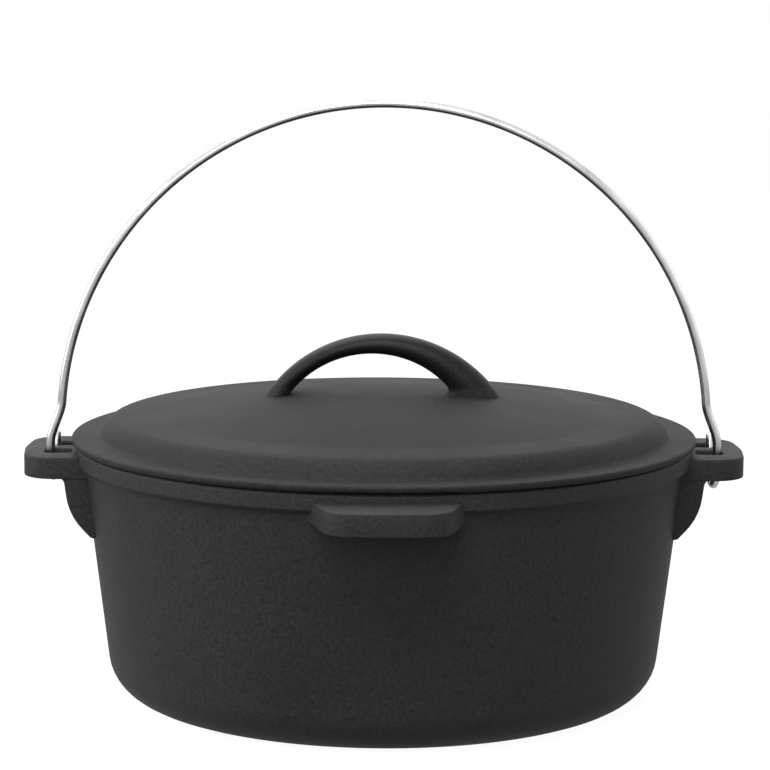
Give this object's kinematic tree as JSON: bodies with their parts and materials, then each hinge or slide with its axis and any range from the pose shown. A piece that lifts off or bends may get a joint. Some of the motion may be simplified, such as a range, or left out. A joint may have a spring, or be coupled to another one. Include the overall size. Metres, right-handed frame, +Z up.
{
  "type": "cast iron pot",
  "caption": "Round cast iron camp pot with a domed lid, an arched cast grip, slotted ears, plain lift tabs and a wire carrying bail.",
  "frame": {"origin": "centre of the pot's flat base, on the surface that it stands on", "axes": "+Z up; the two slotted ears that carry the bail lie on the X axis and the two plain lift tabs on the Y axis; the hooks of the upright bail enter the ears on the -Y side"},
  "size_m": [0.3464, 0.3482, 0.2866],
  "materials": {
    "pot_iron": "seasoned black iron with a fine sand-cast grain, satin",
    "lid_iron": "seasoned black iron with a fine sand-cast grain, satin, smoother on the grip",
    "bail_wire": "bright drawn steel wire"
  },
  "bodies": {
    "pot": {"pot_body": "pot_iron"},
    "lid": {"lid": "lid_iron"},
    "bail": {"bail": "bail_wire"}
  },
  "joints": [
    {"name": "bail_swing", "type": "hinge", "parent": "pot", "child": "bail", "pos_m": [0, 0, 0.11305], "axis": [1, 0, 0], "range_deg": [-90, 35]},
    {"name": "lid_lift", "type": "slide", "parent": "pot", "child": "lid", "axis": [0, 0, 1], "range_m": [0, 0.028]}
  ]
}
